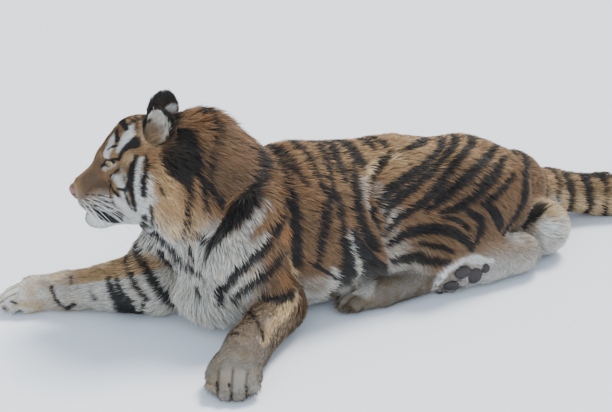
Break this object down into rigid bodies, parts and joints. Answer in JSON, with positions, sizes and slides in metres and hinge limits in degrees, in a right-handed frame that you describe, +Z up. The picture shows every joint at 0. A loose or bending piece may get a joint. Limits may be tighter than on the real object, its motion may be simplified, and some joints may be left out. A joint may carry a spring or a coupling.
{
  "type": "siberian tiger",
  "caption": "Life-size model of a resting siberian tiger, head raised and turned, forelegs stretched out, hips rolled over, tail laid on the floor.",
  "frame": {"origin": "on the floor, on the flat under the belly", "axes": "+Z up, -X towards the head, +X towards the tail, -Y towards the animal's left side"},
  "size_m": [2.5445, 1.0124, 0.7064],
  "materials": {
    "coat_rust": "long soft fur, striped",
    "coat_pale": "long soft pale fur, striped",
    "coat_tan": "short dense fur",
    "nose": "pebbled, slightly moist",
    "eye": "clear wet gloss"
  },
  "bodies": {
    "root": {"head": "coat_rust", "lower_jaw": "coat_pale", "nose_leather": "nose", "ear_left": "coat_rust", "ear_right": "coat_rust", "neck": "coat_rust", "chest": "coat_rust", "belly": "coat_rust", "rump": "coat_rust", "tail_base": "coat_rust", "tail_middle": "coat_rust", "tail_end": "coat_rust", "upper_arm_left": "coat_rust", "forearm_left": "coat_tan", "forepaw_left": "coat_tan", "upper_arm_right": "coat_rust", "forearm_right": "coat_pale", "forepaw_right": "coat_tan", "thigh_left": "coat_rust", "shank_left": "coat_rust", "hind_foot_left": "coat_pale", "thigh_right": "coat_pale", "hind_foot_right": "coat_tan", "eye_left": "eye", "eye_right": "eye"}
  },
  "joints": []
}
